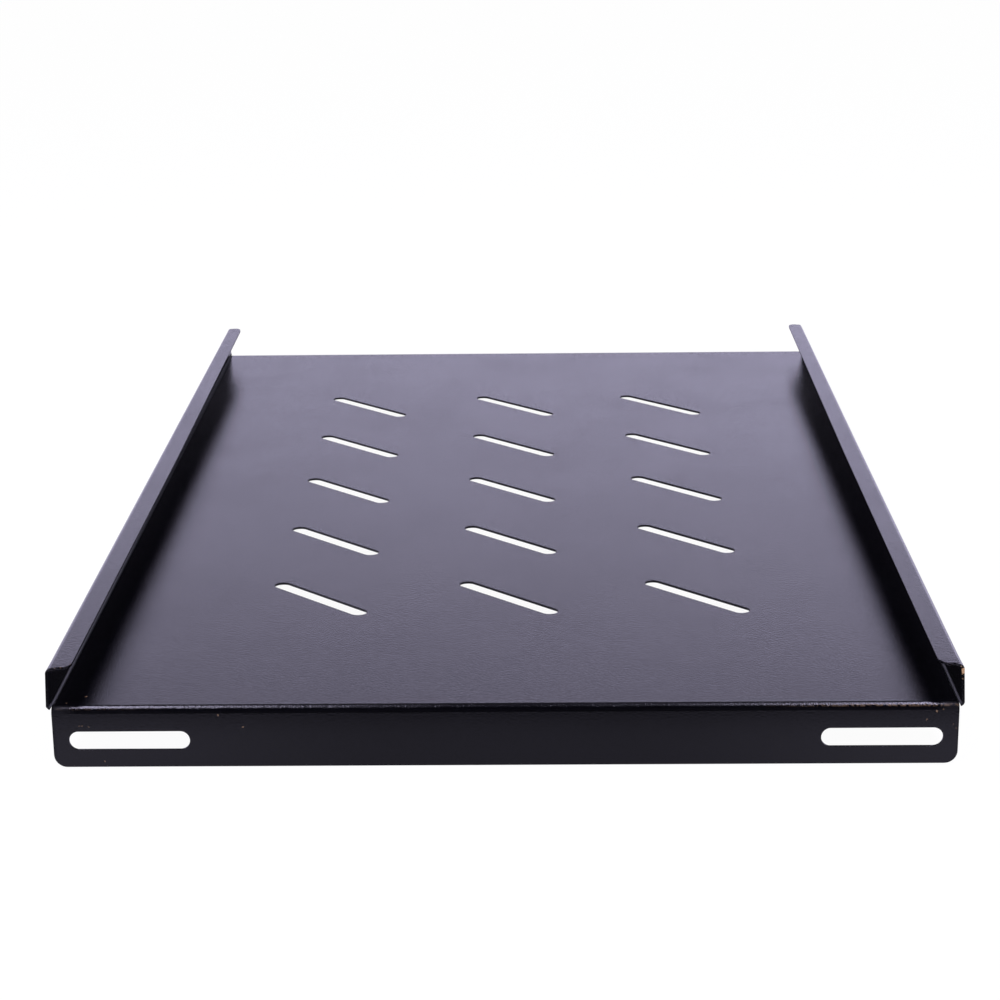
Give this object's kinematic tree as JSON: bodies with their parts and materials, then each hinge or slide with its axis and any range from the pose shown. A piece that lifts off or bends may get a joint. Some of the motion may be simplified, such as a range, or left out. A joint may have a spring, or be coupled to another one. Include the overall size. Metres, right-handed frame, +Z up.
{
  "type": "rack shelf",
  "caption": "Folded sheet-steel rack shelf: flat vented deck, slotted flanges turned down front and back, low side walls with inward lips.",
  "frame": {"origin": "middle of the shelf's width and depth, at the height of the flanges' lower edges", "axes": "+X across the rack, to the right seen from the front; +Y from the front flange to the rear flange; +Z up, out of the deck"},
  "size_m": [0.485, 0.8, 0.0565],
  "materials": {
    "powder_coat": "black fine-texture powder coat, semi-matt"
  },
  "bodies": {
    "root": {"shelf": "powder_coat"}
  },
  "joints": []
}
